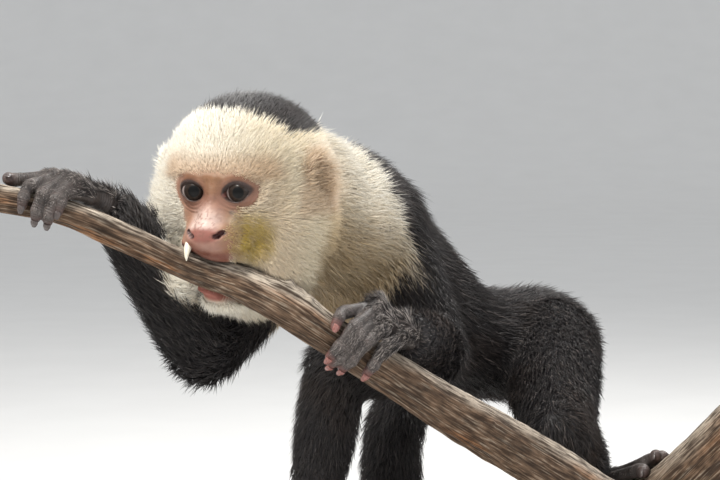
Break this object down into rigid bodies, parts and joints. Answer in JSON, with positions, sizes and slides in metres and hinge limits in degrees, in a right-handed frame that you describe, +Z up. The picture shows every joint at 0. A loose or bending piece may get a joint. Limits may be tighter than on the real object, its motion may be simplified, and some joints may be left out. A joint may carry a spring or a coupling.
{
  "type": "capuchin monkey",
  "caption": "White-faced capuchin crouching on a cut branch that it bites, as a still life-size museum model on a plain rod stand.",
  "frame": {"origin": "centre of the underside of the stand's base", "axes": "+Z up; the animal looks towards -Y and a little towards -X, and its body runs back towards +X and +Y"},
  "size_m": [0.4997, 0.4767, 0.4416],
  "materials": {
    "eye_glass": "gloss dark brown",
    "tooth": "satin ivory",
    "ear_skin": "bare thin skin",
    "pale_coat": "short dense pale fur",
    "black_coat": "dense black fur",
    "paw_skin": "grey skin with sparse hair",
    "bark": "weathered bark",
    "stand_wood": "dark satin lacquer",
    "stand_steel": "satin"
  },
  "bodies": {
    "root": {"canine_R": "tooth", "chest": "pale_coat", "ear_L": "ear_skin", "ear_R": "ear_skin", "eye_L": "eye_glass", "eye_R": "eye_glass", "foot_L": "paw_skin", "foot_R": "paw_skin", "forearm_L": "black_coat", "forearm_R": "black_coat", "hand_L": "paw_skin", "hand_R": "paw_skin", "head": "pale_coat", "jaw": "pale_coat", "loin": "black_coat", "neck": "pale_coat", "pelvis": "black_coat", "perch_branch": "bark", "perch_limb": "bark", "shank_L": "black_coat", "shank_R": "black_coat", "stand_base": "stand_wood", "stand_rod_1": "stand_steel", "stand_rod_2": "stand_steel", "tail_1": "black_coat", "tail_2": "black_coat", "tail_3": "black_coat", "tail_4": "black_coat", "tail_5": "black_coat", "tail_6": "black_coat", "thigh_L": "black_coat", "thigh_R": "black_coat", "upper_arm_L": "black_coat", "upper_arm_R": "black_coat"}
  },
  "joints": []
}
